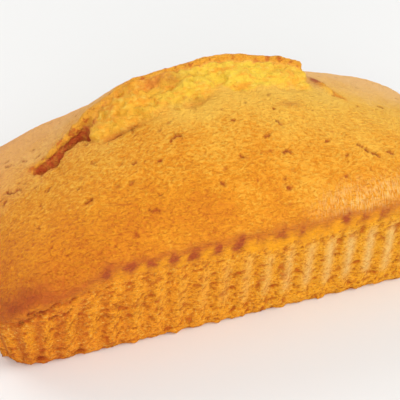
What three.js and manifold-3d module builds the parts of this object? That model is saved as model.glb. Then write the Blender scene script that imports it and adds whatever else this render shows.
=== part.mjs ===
// A pound cake loaf, baked in a pleated paper case: fluted walls that flare upwards, a golden crust
// that domes over them, and a lengthwise crack whose far lip has been lifted by the rising crumb.
// Millimetres, +Z up. X runs along the loaf, and the crack opens towards -Y.
// The origin is the middle of the flat foot that the loaf rests on.
import * as THREE from "three";
import { mergeVertices } from "three/addons/utils/BufferGeometryUtils.js";
import Module from "manifold-3d";

const wasm = await Module();
wasm.setup();

// ---- Foot and wall ----
const FOOT_LENGTH = 203; // along X, at the table
const FOOT_WIDTH = 93.5; // along Y, at the table
const FOOT_RADIUS = 16; // of the foot's corners, seen from above
const FOOT_EDGE = 0.8; // rounding between foot and wall
const WALL_FLARE = 6.2; // the wall's top stands this far out from the foot
const LIP_OVERHANG = 0.9; // and the crust's edge this much further
const LIP_HEIGHT = 4.5; // depth of the smooth band under that edge

const LONG_SIDE_PLEATS = 19; // on the straight stretch of each long side
const SHORT_SIDE_PLEATS = 7;
const CORNER_PLEATS = 4; // round each corner
const PLEAT_DEPTH = 0.8; // a crest stands this much out, and a valley this much in
const PLEAT_PHASE = 0.25; // share of a pleat by which the first crest lies short of the corner
const PLEAT_FADE = 0.62; // share of the wall's height from which the pleats flatten out

// ---- Edge between wall and crust ----
const SHOULDER_HEIGHT = 41; // along the middle of the long sides
const SAG = { from: 61, run: 20, left: 8, right: 2 }; // it sinks from this far along, by so much
const CORNER_SAG = { from: 85, run: 22, left: 9, right: 4 }; // and again towards the corners
const END_RISE = 3; // the middle of each end stands this much over its corners

// ---- Dome ----
const RIDGE_HALF_LENGTH = 52; // of the line that the crust rises to
const RIDGE_ROUNDNESS = 0.98; // 1 would make the boxes next to that line end in full half circles
const RIDGE_Y = { left: -5, right: 3, from: -65, run: 100 }; // the line crosses over from left to right
const RIDGE_HEIGHT = 82; // at the middle
const RIDGE_END_HEIGHT = 59.5; // that it falls to along a bell curve
const RIDGE_SPREAD = 59; // half width of the bell
const RIDGE_SHARPNESS = 2.35; // 2 would be the normal bell curve
const LEFT_RIDGE_DROP = { from: 45, run: 30, by: 1.8 }; // the left end is a little lower
const DOME_ROUNDNESS = 2; // 1 would be a straight roof
const SHOULDER_ROUNDNESS = 0.67; // under 1 the crust drops off more steeply towards its edge

// ---- The crack, from end to end along X. Its lines are given as places [x, value] ----
const CRACK_START = -76;
const GAP_LENGTH = 23; // stays open, before the crumb fills the crack
const GAP_DEPTH = 5.5;
const GAP_START_DEPTH = 0.3; // at its very start
const GAP_WALL = 3; // power of the curve that its far side climbs by
const CRUMB_RUN = 6; // the crumb rises to fill the crack over this length
const CRUMB_SWELL = 0.8; // power of the curve that it climbs by, from the near lip to the far one
const CRUMB_BULGE = 0.7; // its surface swells by this much
const CRUMB_RIPPLE = 0.5; // and is uneven by this much
const NEAR_LIP_Y = [[-76, 2], [-68, -7], [-57, -2], [-48, -9], [-28, -12], [-8, -12], [4, -8], [47, -6]];
const NEAR_LIP_STEP = { left: 1.8, right: 0.9, from: -36, run: 12 }; // from the near lip down to the crumb
const FAR_LIP_Y = [[-76, 2.5], [-66, 0.7], [-50, 3], [-30, 5.3], [20, 5.3], [47, 3]];
const FAR_LIP_LIFT = [[-76, -1], [-60, 4.4], [-46, 8.4], [-30, 9.8], [-6, 8], [6, 8.6], [47, 8.2]];
const FAR_LIP_THICKNESS = [[-76, 1], [-56, 4.3], [-42, 3], [-28, 2.6], [47, 2.6]];
const LIP_NOSE = 0.7; // the broken edges of both lips are rounded by this much
const FLAP_BACK = 22; // from the far lip back to where the lifted crust joins the dome
const FLAP_END = 43; // the lifted lip breaks off here
const FLAP_END_SLOPE = 3.5; // and the crumb under it slopes down over this length
const NARROW_CRACK_Y = [[47, 0], [49, -2.2], [52, -3.8], [58, -9.5], [64, -13]];
const NARROW_CRACK_WIDTH = 2.2; // at its start
const NARROW_CRACK_DEPTH = 3.2;
const NARROW_CRACK_TIP = 0.35; // its width and depth where it runs out
const OVERLAP = 1.6; // by which pieces reach into each other where they are joined
const CLEAR_HEIGHT = RIDGE_HEIGHT + 20; // what is cut away reaches up to here, over all of the loaf

// ---- Mesh resolution ----
const SAMPLES_PER_PLEAT = 4;
const WALL_ROWS = [0.3, PLEAT_FADE, 0.86]; // shares of the height between the foot and the smooth band
const CRUST_RINGS = [0.98, 0.94, 0.88, 0.8, 0.7, 0.59, 0.47, 0.34, 0.21, 0.09, 0]; // 0 is the ridge itself
const CRACK_STATIONS = 40;
const NARROW_CRACK_STATIONS = 14;
const MERGING_DISTANCE = 1e-4;
const SHORTEST_EDGE = 0.12; // that is left after the pieces have been joined and cut
const LOWEST_TRIANGLE = 0.015;
const CLEANING_ROUNDS = 4;

const smooth = (t) => THREE.MathUtils.smoothstep(t, 0, 1);
const lerp = THREE.MathUtils.lerp;

// How far along (0 to 1) a change is that starts at one place and runs over a length.
const changed = (x, { from, run }) => smooth((x - from) / run);

// A smooth curve through places [x, value], read off at any x.
const TABLE_STEPS = 12; // between two places
const HALVINGS = 24; // enough for a millionth of a millimetre
function curveThrough(list) {
  const curve = new THREE.SplineCurve(list.map(([x, value]) => new THREE.Vector2(x, value)));
  const table = curve.getPoints(list.length * TABLE_STEPS);
  return (x) => {
    const next = table.findIndex((p) => p.x > x);
    if (next === 0) return table[0].y;
    if (next < 0) return table[table.length - 1].y;
    const [a, b] = [table[next - 1], table[next]];
    return lerp(a.y, b.y, (x - a.x) / (b.x - a.x));
  };
}

// ---- Plan: rounded rectangles walked anticlockwise, with the pleats counted on the way ----
const quarter = Math.PI / 2;
const SPANS = [
  { pleats: LONG_SIDE_PLEATS, side: [-1, -1, 1, -1], facing: -quarter },
  { pleats: CORNER_PLEATS, corner: [1, -1], facing: -quarter },
  { pleats: SHORT_SIDE_PLEATS, side: [1, -1, 1, 1], facing: 0 },
  { pleats: CORNER_PLEATS, corner: [1, 1], facing: 0 },
  { pleats: LONG_SIDE_PLEATS, side: [1, 1, -1, 1], facing: quarter },
  { pleats: CORNER_PLEATS, corner: [-1, 1], facing: quarter },
  { pleats: SHORT_SIDE_PLEATS, side: [-1, 1, -1, -1], facing: 2 * quarter },
  { pleats: CORNER_PLEATS, corner: [-1, -1], facing: 2 * quarter },
];

// Places round the outline, each with its share of a span and its count of pleats.
function placesRound(step) {
  const places = [];
  let count = 0;
  for (const span of SPANS) {
    const samples = span.pleats * SAMPLES_PER_PLEAT;
    for (let i = 0; i < samples; i += step) {
      places.push({ span, share: i / samples, turns: count + i / SAMPLES_PER_PLEAT + PLEAT_PHASE });
    }
    count += span.pleats;
  }
  return places;
}

// The ridge isn't in the middle of the loaf, so the boxes near it are shifted across.
const ridgeShift = (x, reach) => lerp(RIDGE_Y.left, RIDGE_Y.right, changed(x, RIDGE_Y)) * (1 - reach);

// A rounded rectangle of the family that leads from the foot (reach 1) out to the shoulder, and from
// there in to the ridge (reach 0), where it has closed up to a line.
const foot = { halfX: FOOT_LENGTH / 2, halfY: FOOT_WIDTH / 2, radius: FOOT_RADIUS, reach: 1 };
function grown(box, by) {
  return { ...box, halfX: box.halfX + by, halfY: box.halfY + by, radius: box.radius + by };
}
const shoulder = grown(foot, WALL_FLARE + LIP_OVERHANG);
function crustBox(reach) {
  const halfX = lerp(RIDGE_HALF_LENGTH, shoulder.halfX, reach);
  const halfY = shoulder.halfY * reach;
  const roundness = lerp(RIDGE_ROUNDNESS, shoulder.radius / shoulder.halfY, reach);
  return { halfX, halfY, radius: halfY * roundness, reach };
}

// The point of a box at a place of the outline, moved outwards.
function onBox(box, { span, share }, outwards = 0) {
  const [fromX, fromY, toX, toY] = span.side ?? [...span.corner, ...span.corner];
  const angle = span.facing + (span.corner ? share * quarter : 0);
  const x = lerp(fromX, toX, share) * (box.halfX - box.radius) + (box.radius + outwards) * Math.cos(angle);
  const y = lerp(fromY, toY, share) * (box.halfY - box.radius) + (box.radius + outwards) * Math.sin(angle);
  return new THREE.Vector2(x, y + ridgeShift(x, box.reach));
}

// The reach of the crust box that passes through a point of the plan, found by halving.
function reachOf(x, y) {
  let low = 0;
  let high = 1;
  for (let i = 0; i < HALVINGS; i++) {
    const reach = (low + high) / 2;
    const box = crustBox(reach);
    const overX = Math.max(Math.abs(x) - (box.halfX - box.radius), 0);
    const overY = Math.max(Math.abs(y - ridgeShift(x, reach)) - (box.halfY - box.radius), 0);
    if (Math.hypot(overX, overY) > box.radius) low = reach;
    else high = reach;
  }
  return high;
}

// ---- Heights ----
function shoulderHeight(x, y) {
  const end = x < 0 ? "left" : "right";
  const corner = changed(Math.abs(x), CORNER_SAG);
  const rise = END_RISE * Math.max(0, 1 - (y / foot.halfY) ** 2);
  return SHOULDER_HEIGHT - SAG[end] * changed(Math.abs(x), SAG) + (rise - CORNER_SAG[end]) * corner;
}
function ridgeHeight(x) {
  const bell = Math.exp(-((Math.abs(x) / RIDGE_SPREAD) ** RIDGE_SHARPNESS));
  return lerp(RIDGE_END_HEIGHT, RIDGE_HEIGHT, bell) - LEFT_RIDGE_DROP.by * changed(-x, LEFT_RIDGE_DROP);
}
function crustHeight(x, y, reach) {
  const share = (1 - reach ** DOME_ROUNDNESS) ** SHOULDER_ROUNDNESS;
  return lerp(shoulderHeight(x, y), ridgeHeight(x), share);
}
const domeHeight = (x, y) => crustHeight(x, y, reachOf(x, y));

// ---- Closed surfaces from rings ----
const [X_AXIS, Y_AXIS, Z_AXIS] = [0, 1, 2];
class Surface {
  constructor() {
    this.positions = [];
    this.faces = [];
  }
  ring(points) {
    const first = this.positions.length / 3;
    for (const p of points) this.positions.push(p.x, p.y, p.z);
    return points.map((_, i) => first + i);
  }
  // Joins two rings of equal length, the second further along the surface.
  band(lower, upper) {
    const n = lower.length;
    for (let i = 0; i < n; i++) {
      const j = (i + 1) % n;
      this.faces.push(lower[i], lower[j], upper[j], lower[i], upper[j], upper[i]);
    }
  }
  // Joins a ring to one with half as many points.
  halvingBand(lower, upper) {
    const n = upper.length;
    for (let i = 0; i < n; i++) {
      const [a, b, c] = [lower[2 * i], lower[2 * i + 1], lower[(2 * i + 2) % lower.length]];
      const [d, e] = [upper[i], upper[(i + 1) % n]];
      this.faces.push(a, b, d, b, e, d, b, c, e);
    }
  }
  // Closes a ring with triangles between its own points, seen along the two axes numbered.
  cap(ring, across, up, turned) {
    const at = (vertex, axis) => this.positions[3 * vertex + axis];
    const flat = ring.map((vertex) => new THREE.Vector2(at(vertex, across), at(vertex, up)));
    for (const [a, b, c] of THREE.ShapeUtils.triangulateShape(flat, [])) {
      const face = [ring[a], ring[b], ring[c]];
      if (turned) face.reverse();
      this.faces.push(...face);
    }
  }
  // Points that meet become one, and the triangles that this flattens are left out.
  solid() {
    const geometry = new THREE.BufferGeometry();
    geometry.setAttribute("position", new THREE.Float32BufferAttribute(this.positions, 3));
    geometry.setIndex(this.faces);
    const merged = mergeVertices(geometry, MERGING_DISTANCE);
    const corners = merged.index.array;
    const kept = [];
    for (let i = 0; i < corners.length; i += 3) {
      const face = corners.slice(i, i + 3);
      if (new Set(face).size === 3) kept.push(...face);
    }
    const vertProperties = merged.attributes.position.array;
    return new wasm.Manifold(new wasm.Mesh({ numProp: 3, vertProperties, triVerts: new Uint32Array(kept) }));
  }
}

// A solid from one closed outline for each station along X. An outline is a list of [y, z].
function loft(stations, outline) {
  const surface = new Surface();
  const rings = stations.map((x) => surface.ring(outline(x).map(([y, z]) => new THREE.Vector3(x, y, z))));
  surface.cap(rings[0], Y_AXIS, Z_AXIS, true);
  for (let i = 1; i < rings.length; i++) surface.band(rings[i - 1], rings[i]);
  surface.cap(rings[rings.length - 1], Y_AXIS, Z_AXIS, false);
  return surface.solid();
}
function stationsBetween(from, to, count) {
  return Array.from({ length: count + 1 }, (_, i) => lerp(from, to, i / count));
}

// ---- Body: foot, pleated wall, lip and dome in one closed surface ----
function body() {
  const surface = new Surface();
  const fine = placesRound(1);
  const coarse = placesRound(2);

  // A row of the wall, at a share of its height, with the pleats as deep as given there.
  const wallRow = (box, share, depth) =>
    surface.ring(
      fine.map((place) => {
        const edge = onBox(shoulder, place);
        const at = onBox(box, place, depth * Math.cos(2 * Math.PI * place.turns));
        const z = share * (shoulderHeight(edge.x, edge.y) - LIP_HEIGHT);
        return new THREE.Vector3(at.x, at.y, z);
      }),
    );
  const crustRow = (reach) =>
    surface.ring(
      coarse.map((place) => {
        const at = onBox(crustBox(reach), place);
        return new THREE.Vector3(at.x, at.y, crustHeight(at.x, at.y, reach));
      }),
    );

  const underside = wallRow(grown(foot, -FOOT_EDGE), 0, PLEAT_DEPTH);
  surface.cap(underside, X_AXIS, Y_AXIS, true);
  const wall = [wallRow(foot, FOOT_EDGE / SHOULDER_HEIGHT, PLEAT_DEPTH)];
  for (const share of WALL_ROWS) {
    const fade = 1 - changed(share, { from: PLEAT_FADE, run: 1 - PLEAT_FADE });
    wall.push(wallRow(grown(foot, WALL_FLARE * share), share, PLEAT_DEPTH * fade));
  }
  wall.push(wallRow(grown(foot, WALL_FLARE + LIP_OVERHANG / 3), 1, 0));
  const crust = [1, ...CRUST_RINGS].map(crustRow);

  surface.band(underside, wall[0]);
  for (let i = 1; i < wall.length; i++) surface.band(wall[i - 1], wall[i]);
  surface.halvingBand(wall[wall.length - 1], crust[0]);
  for (let i = 1; i < crust.length; i++) surface.band(crust[i - 1], crust[i]);
  return surface.solid();
}

// ---- Crack ----
const nearLipY = curveThrough(NEAR_LIP_Y);
const farLipY = curveThrough(FAR_LIP_Y);
const farLipLift = curveThrough(FAR_LIP_LIFT);
const farLipThickness = curveThrough(FAR_LIP_THICKNESS);
const narrowCrackY = curveThrough(NARROW_CRACK_Y);

// What the crack takes out of the dome between its two lips.
function crackOpening() {
  return loft(stationsBetween(CRACK_START, FLAP_END, CRACK_STATIONS), (x) => {
    const near = nearLipY(x);
    const far = farLipY(x) + OVERLAP;
    const nearZ = domeHeight(x, near);
    const opened = changed(x, { from: CRACK_START, run: GAP_LENGTH / 2 });
    const floor = nearZ - GAP_START_DEPTH - GAP_DEPTH * opened;
    return [
      [near + LIP_NOSE, floor],
      [far, floor],
      [far, CLEAR_HEIGHT],
      [near - LIP_NOSE, CLEAR_HEIGHT],
      [near - LIP_NOSE / 3, nearZ],
    ];
  });
}

// The crumb that shows in the crack, with the lifted flap of crust over its far side.
function crumbAndFlap() {
  const stations = stationsBetween(CRACK_START, FLAP_END, CRACK_STATIONS);
  stations.push(FLAP_END + FLAP_END_SLOPE);
  return loft(stations, (x) => {
    const filled = changed(x, { from: CRACK_START + GAP_LENGTH, run: CRUMB_RUN });
    const ended = changed(x, { from: FLAP_END, run: FLAP_END_SLOPE });
    const near = nearLipY(x);
    const far = farLipY(x);
    const nearZ = domeHeight(x, near);
    const lift = farLipLift(x);
    const thick = farLipThickness(x);
    const top = domeHeight(x, far) + lerp(lift, -OVERLAP, ended);
    const step = lerp(NEAR_LIP_STEP.left, NEAR_LIP_STEP.right, changed(x, NEAR_LIP_STEP));
    const floor = nearZ - lerp(lerp(GAP_DEPTH, step, filled), OVERLAP, ended);
    const ceiling = Math.max(floor + GAP_START_DEPTH, top - thick);
    const deep = nearZ - GAP_DEPTH - 2 * OVERLAP;
    const ripple = CRUMB_RIPPLE * (Math.sin(0.33 * x) + Math.sin(0.71 * x + 1));

    // The flap's upper side, at a share of the way back from the lip to the dome, that it dives into.
    const back = (share) => {
      const y = far + FLAP_BACK * share;
      const over = share < 1 ? lift * (1 - share) : -OVERLAP;
      return [y, domeHeight(x, y) + lerp(over, -OVERLAP, ended)];
    };
    // The crumb's surface, at a share of the way up from the near lip to the flap.
    const crumb = (share, unevenness) => {
      const climb = lerp(share ** GAP_WALL, share ** CRUMB_SWELL, filled);
      const bulge = (CRUMB_BULGE + unevenness) * Math.sin(Math.PI * share) * filled * (1 - ended);
      return [lerp(near, far, share) + 2 * LIP_NOSE, lerp(floor, ceiling, climb) + bulge];
    };
    return [
      [near, deep],
      [far + 0.8 * FLAP_BACK, deep],
      back(1),
      back(0.64),
      back(0.3),
      [far + LIP_NOSE, top],
      [far - LIP_NOSE, top - thick / 3],
      [far, top - thick],
      crumb(1, 0),
      crumb(0.7, ripple),
      crumb(0.42, -ripple),
      crumb(0.14, ripple),
      [near + LIP_NOSE, floor - LIP_NOSE],
    ];
  });
}

// The narrow crack that runs on from the flap's broken end.
function narrowCrack() {
  const start = NARROW_CRACK_Y[0][0];
  const end = NARROW_CRACK_Y[NARROW_CRACK_Y.length - 1][0];
  return loft(stationsBetween(start, end, NARROW_CRACK_STATIONS), (x) => {
    const y = narrowCrackY(x);
    const z = domeHeight(x, y);
    const open = 1 - changed(x, { from: start, run: end - start });
    const half = lerp(NARROW_CRACK_TIP, NARROW_CRACK_WIDTH, open) / 2;
    return [
      [y, z - NARROW_CRACK_TIP - NARROW_CRACK_DEPTH * open],
      [y + half, z + OVERLAP],
      [y - half, z + OVERLAP],
    ];
  });
}

// ---- Slivers ----
// Where two surfaces cross, joining and cutting them leaves some very short edges and very flat triangles.
// A short edge is drawn together into one point, and the longest edge of a flat triangle is swapped for
// the other diagonal of the two triangles that meet at it.
class Triangles {
  constructor({ vertProperties, triVerts }) {
    this.faces = [];
    this.points = [];
    for (let i = 0; i < triVerts.length; i += 3) this.faces.push([...triVerts.slice(i, i + 3)]);
    for (let i = 0; i < vertProperties.length; i += 3) {
      this.points.push(new THREE.Vector3().fromArray(vertProperties, i));
    }
  }
  // The lengths of a face's edges, each the one opposite the corner of the same number.
  edges(face) {
    const [a, b, c] = face.map((v) => this.points[v]);
    return [b.distanceTo(c), c.distanceTo(a), a.distanceTo(b)];
  }
  // A vector along the face's normal, as long as twice its area.
  normal(face) {
    const [a, b, c] = face.map((v) => this.points[v]);
    return b.clone().sub(a).cross(c.clone().sub(a));
  }
  height(face) {
    return this.normal(face).length() / Math.max(...this.edges(face));
  }
  roundPoint(v) {
    return [...this.around[v]].map((f) => this.faces[f]);
  }
  neighbours(v) {
    return new Set(this.roundPoint(v).flat());
  }
  // Puts faces in the place of others, unless one of them would face the other way or be flat itself.
  swap(old, made, facing) {
    const sound = made.every(
      (face, i) => this.normal(face).dot(facing[i]) > 0 && this.height(face) > LOWEST_TRIANGLE,
    );
    if (!sound) return false;
    for (const f of old) {
      for (const v of this.faces[f]) this.around[v].delete(f);
      this.faces[f] = null;
    }
    for (const face of made) {
      this.faces.push(face);
      for (const v of face) this.around[v].add(this.faces.length - 1);
    }
    return true;
  }
  drawTogether(kept, gone) {
    const joined = [...this.neighbours(gone)].filter((v) => this.neighbours(kept).has(v));
    if (joined.length !== 4) return; // the two points themselves, and one on either side of the edge
    const old = [...this.around[gone]];
    const moved = old.map((f) => this.faces[f]).filter((face) => !face.includes(kept));
    const made = moved.map((face) => face.map((v) => (v === gone ? kept : v)));
    this.swap(old, made, moved.map((face) => this.normal(face)));
  }
  swapDiagonal(f, top) {
    const [c, a, b] = [0, 1, 2].map((i) => this.faces[f][(top + i) % 3]);
    const g = [...this.around[a]].find((other) => other !== f && this.around[b].has(other));
    const d = this.faces[g].find((v) => v !== a && v !== b);
    if (this.neighbours(c).has(d)) return;
    const facing = this.normal(this.faces[g]);
    this.swap([f, g], [[c, a, d], [d, b, c]], [facing, facing]);
  }
  clean() {
    this.around = this.points.map(() => new Set());
    this.faces.forEach((face, f) => face.forEach((v) => this.around[v].add(f)));
    for (let f = 0; f < this.faces.length; f++) {
      if (!this.faces[f]) continue;
      const edges = this.edges(this.faces[f]);
      const at = edges.indexOf(Math.min(...edges));
      const [kept, gone] = [1, 2].map((i) => this.faces[f][(at + i) % 3]);
      if (edges[at] < SHORTEST_EDGE) this.drawTogether(kept, gone);
      if (this.faces[f] && edges[at] < SHORTEST_EDGE) this.drawTogether(gone, kept);
      if (this.faces[f] && this.height(this.faces[f]) < LOWEST_TRIANGLE) {
        this.swapDiagonal(f, edges.indexOf(Math.max(...edges)));
      }
    }
    this.faces = this.faces.filter((face) => face);
  }
  geometry() {
    const geometry = new THREE.BufferGeometry().setFromPoints(this.points);
    geometry.setIndex(this.faces.flat());
    return mergeVertices(geometry.toNonIndexed(), MERGING_DISTANCE);
  }
}

// ---- The loaf ----
const loaf = body().subtract(crackOpening()).add(crumbAndFlap()).subtract(narrowCrack());
const cleaned = new Triangles(loaf.getMesh());
for (let round = 0; round < CLEANING_ROUNDS; round++) cleaned.clean();
const bakedCrust = new THREE.MeshStandardMaterial({ color: 0xe79a35, roughness: 0.75, metalness: 0 });
const cake = new THREE.Mesh(cleaned.geometry(), bakedCrust);
cake.name = "pound_cake_loaf";

const part = new THREE.Group();
part.add(cake);
export default part;
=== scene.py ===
from math import pi, radians

import bmesh
import bpy
import numpy as np
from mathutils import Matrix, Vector, noise


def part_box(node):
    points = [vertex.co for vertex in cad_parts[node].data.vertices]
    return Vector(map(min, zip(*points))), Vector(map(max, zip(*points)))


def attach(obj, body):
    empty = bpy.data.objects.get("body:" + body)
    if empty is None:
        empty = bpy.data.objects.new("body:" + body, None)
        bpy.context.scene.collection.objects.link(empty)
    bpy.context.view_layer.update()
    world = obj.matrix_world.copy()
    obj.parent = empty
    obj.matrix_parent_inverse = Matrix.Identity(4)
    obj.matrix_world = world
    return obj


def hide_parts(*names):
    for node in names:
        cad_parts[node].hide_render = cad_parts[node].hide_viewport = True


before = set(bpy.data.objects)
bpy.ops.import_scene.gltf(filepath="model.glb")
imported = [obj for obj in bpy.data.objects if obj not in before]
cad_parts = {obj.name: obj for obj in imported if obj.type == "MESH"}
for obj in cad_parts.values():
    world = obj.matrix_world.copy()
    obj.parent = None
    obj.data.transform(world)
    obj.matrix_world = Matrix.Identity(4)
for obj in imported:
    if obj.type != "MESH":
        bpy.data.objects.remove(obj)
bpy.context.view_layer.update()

MM = 0.001
LOAF = "pound_cake_loaf"
loaf_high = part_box(LOAF)[1]
bpy.ops.object.select_all(action="DESELECT")

# ---- Edge of the crust, seen from above: a rectangle with round corners ----
EDGE_X = loaf_high.x / MM  # half its length
EDGE_Y = loaf_high.y / MM  # and half its width
EDGE_RADIUS = 23.1
CORE_X = EDGE_X - EDGE_RADIUS  # the rectangle of the corners' centres
CORE_Y = EDGE_Y - EDGE_RADIUS

# ---- Wall ----
FLARE = 6.2  # the foot lies inside the wall's top by this much
OVERHANG = 0.9  # and the crust's edge stands out from the wall's top
BAND = 4.5  # height of the smooth band under that edge
WALL_REACH = 14.0  # how far in from the crust's edge the block is drawn in with the wall
SIDE_PLEATS = 19  # on the straight stretch of each long side
END_PLEATS = 7
CORNER_PLEATS = 4
PLEAT_DEPTH = 0.85
PLEAT_PHASE = 0.25
PLEAT_FADE = 0.62  # share of the wall's height from which the pleats flatten out
FOOT_PLEAT = 0.45  # share of their depth at the foot
FOOT_PLEAT_END = 0.3  # share of the wall's height at which it has grown to the whole
PLEAT_LAG = 0.17  # share of a pleat by which its finish lies further round than its relief; it puts the crests' painted highlight on the flank lit from the right, and the grooves' painted shade on the other flank

# ---- Crust ----
# A run is where a change starts, in X from the middle of the loaf, and the length that it takes.
EDGE_HEIGHT = 41.0
EDGE_SAG = (8.0, 2.0)  # at the left and the right end
EDGE_SAG_RUN = (61, 20)
CORNER_SAG = (9.0, 4.0)
CORNER_SAG_RUN = (85, 22)
END_RISE = 3.0  # the middle of each end over its corners
RIDGE_X = 52.0  # half the length of the line that the crust rises to
RIDGE_Y = (-5, 3)  # where that line lies at the left and the right end
RIDGE_Y_RUN = (-65, 100)
RIDGE_ROUNDNESS = 0.98  # with 1 the crust would fall off its ends in half circles
RIDGE_HEIGHT = 82.0
RIDGE_END_HEIGHT = 59.5
RIDGE_HALF_LENGTH = 59  # of the bell in which it falls to that
RIDGE_POWER = 2.35
LEFT_DROP = 1.8  # the ridge's left end is lower by this much
LEFT_DROP_RUN = (45, 30)
DOME_POWER = 0.67  # the lower, the blunter the dome
HALVINGS = 22  # in finding a point's place between ridge and edge
CORNER_STEPS = 20

# ---- Crack, from end to end along X, as places (x, value) ----
CRACK_START = -77.5
GAP_LENGTH = 24.3
GAP_DEPTH = 6.5
GAP_LEAN = 1.2  # its near side leans in by this much towards the floor
FLAP_END = 41.5
FLAP_END_SLOPE = 2.5
FLAP_BACK = 22.0  # how far behind its edge the flap comes down to the crust
FLAP_SINK = 1.6  # and how far under the crust it then lies
FLAP_ROOM = 1.6  # how far the crack is opened behind the flap's edge
CRUMB_ROOT = 4.0  # how far the crumb reaches down into the block under the gap
OVER_LOAF = 104.0  # a height over all of the loaf
NEAR_LIP_Y = [
    (-77.5, 2),
    (-74.5, -4),
    (-72.4, -5),
    (-68.2, -7),
    (-65.2, -4.5),
    (-62, -1.6),
    (-57, -1.4),
    (-53.8, -3),
    (-52, -7.5),
    (-48, -10.6),
    (-35, -10.6),
    (-28, -12),
    (-9, -12.2),
    (2, -5.5),
    (7, -8.2),
    (14, -8.4),
    (22, -6.8),
    (37, -6.8),
    (47, -5.5),
]
FAR_LIP_Y = [(-77.5, 2.5), (-66, 0.7), (-50, 3), (-30, 5.3), (20, 5.3), (47, 3)]
FAR_LIP_LIFT = [(-76, -1), (-60, 4.4), (-46, 8.4), (-30, 9.8), (-6, 8), (6, 8.6), (47, 8.2)]
FAR_LIP_THICKNESS = [
    (-76, 1),
    (-66, 3),
    (-54, 4.6),
    (-49.5, 3.2),
    (-46.5, 1.3),
    (-28, 1.1),
    (-10, 1.3),
    (0, 2.2),
    (47, 2.4),
]
NEAR_LIP_RAGGED = (1.7, 1.2)  # fine raggedness where the crack gapes, and where crumb fills it
FAR_LIP_RAGGED = (0.9, 0.3)
CRUMB_INSET = (1.4, 0.5)  # how far behind the near lip the floor begins, in the gap and where it is filled
# How far under the near lip the crumb begins, and how far it swells out half way up
CRUMB_STEP = [(-77, 1.6), (-36, 1.5), (-27, 0.5), (-14, 0.4), (-6, 0.9), (47, 0.9)]
CRUMB_SWELL = [(-77, 2.2), (-38, 1.9), (-28, 1.3), (47, 1.3)]
# The tear in the crust that runs on past the flap, as places (x, y)
TEAR = [
    (47, 7.8),
    (49, 5.5),
    (50.1, 1.9),
    (50.8, -1.5),
    (52.2, -3.7),
    (54.2, -5.6),
    (56, -7.6),
    (58, -10.8),
    (60, -14),
]
TEAR_START = 44.0  # nothing left of this belongs to the tear
FURROW_DEPTH = 2.2
RIDGE_RISE = 1.3  # of the crumb that stands along the tear's first half

# ---- Resolution ----
BLOCK_STEP = 1.6
SKIN_STEP = 0.9
CRACK_SLICE = 1.0
CRUMB_SLICE = 0.7
CRUMB_CORNERS = 14  # of the crumb's outline, from lip to lip

PIECE = "loaf"


# ---------------------------------------------------------------- numbers
def smooth(t):
    t = np.clip(t, 0, 1)
    return t * t * (3 - 2 * t)


def between(a, b, t):
    return a + (b - a) * t


def changed(x, start, run):
    """How far along, from 0 to 1, a change is that starts at a place and runs over a length."""
    return smooth((x - start) / run)


def near(x, centre, width):
    """A bell of height 1 round a centre."""
    return np.exp(-(((x - centre) / width) ** 2))


def bell(x, y, centre_x, centre_y, half_x, half_y):
    """The same over an oval, seen from above."""
    return near(np.hypot((x - centre_x) / half_x, (y - centre_y) / half_y), 0, 1)


def curve(knots, steps=12):
    """A smooth curve through places (x, value), read off at any x."""
    ends = [knots[0], *knots, knots[-1]]
    t = np.linspace(0, 1, steps, endpoint=False)[:, None]
    spans = []
    for p0, p1, p2, p3 in (np.array(ends[i : i + 4], float) for i in range(len(knots) - 1)):
        v0, v1 = (p2 - p0) / 2, (p3 - p1) / 2
        cubic, square = 2 * (p1 - p2) + v0 + v1, 3 * (p2 - p1) - 2 * v0 - v1
        spans.append(cubic * t**3 + square * t**2 + v0 * t + p1)
    table = np.vstack([*spans, [knots[-1]]])
    return lambda x: np.interp(x, table[:, 0], table[:, 1])


def grain(points, size, seed):
    """Smooth noise from about -1 to 1. Its bumps are as wide as size, one number or one for each axis.
    Each seed reads the noise at another place."""
    return np.array([noise.noise(Vector(p)) for p in points / size + 31.7 * seed])


def ragged(x, size, seed):
    """The same along a line."""
    places = ((value / size, 7.3 * seed, 0) for value in np.atleast_1d(x))
    return np.array([noise.noise(Vector(place)) for place in places])


# ---------------------------------------------------------------- shape of the loaf
def ridge_shift(x, reach):
    """How far behind the middle line the ridge lies, and less of it the nearer to the crust's edge."""
    return between(*RIDGE_Y, changed(x, *RIDGE_Y_RUN)) * (1 - reach)


def reach_of(x, y):
    """Where a point lies between the ridge (0) and the crust's edge (1), found by halving."""
    lowest, highest = np.zeros_like(x), np.ones_like(x)
    for _ in range(HALVINGS):
        reach = (lowest + highest) / 2
        half_y = EDGE_Y * reach
        radius = half_y * between(RIDGE_ROUNDNESS, EDGE_RADIUS / EDGE_Y, reach)
        over_x = np.maximum(np.abs(x) - (between(RIDGE_X, EDGE_X, reach) - radius), 0)
        over_y = np.maximum(np.abs(y - ridge_shift(x, reach)) - (half_y - radius), 0)
        outside = np.hypot(over_x, over_y) > radius
        lowest = np.where(outside, reach, lowest)
        highest = np.where(outside, highest, reach)
    return highest


def edge_height(x, y):
    """Height of the crust's edge."""
    end = np.where(x < 0, *EDGE_SAG)
    corner = np.where(x < 0, *CORNER_SAG)
    rise = END_RISE * np.maximum(0, 1 - (y / (EDGE_Y - FLARE - OVERHANG)) ** 2)
    along = np.abs(x)
    sunk = end * changed(along, *EDGE_SAG_RUN)
    return EDGE_HEIGHT - sunk + (rise - corner) * changed(along, *CORNER_SAG_RUN)


def ridge_height(x):
    share = np.exp(-((np.abs(x) / RIDGE_HALF_LENGTH) ** RIDGE_POWER))
    return between(RIDGE_END_HEIGHT, RIDGE_HEIGHT, share) - LEFT_DROP * changed(-x, *LEFT_DROP_RUN)


def dome(x, y):
    """Height of the crust."""
    x, y = np.atleast_1d(x).astype(float), np.atleast_1d(y).astype(float)
    x, y = np.broadcast_arrays(x, y)
    share = (1 - reach_of(x, y) ** 2) ** DOME_POWER
    return between(edge_height(x, y), ridge_height(x), share)


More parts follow.
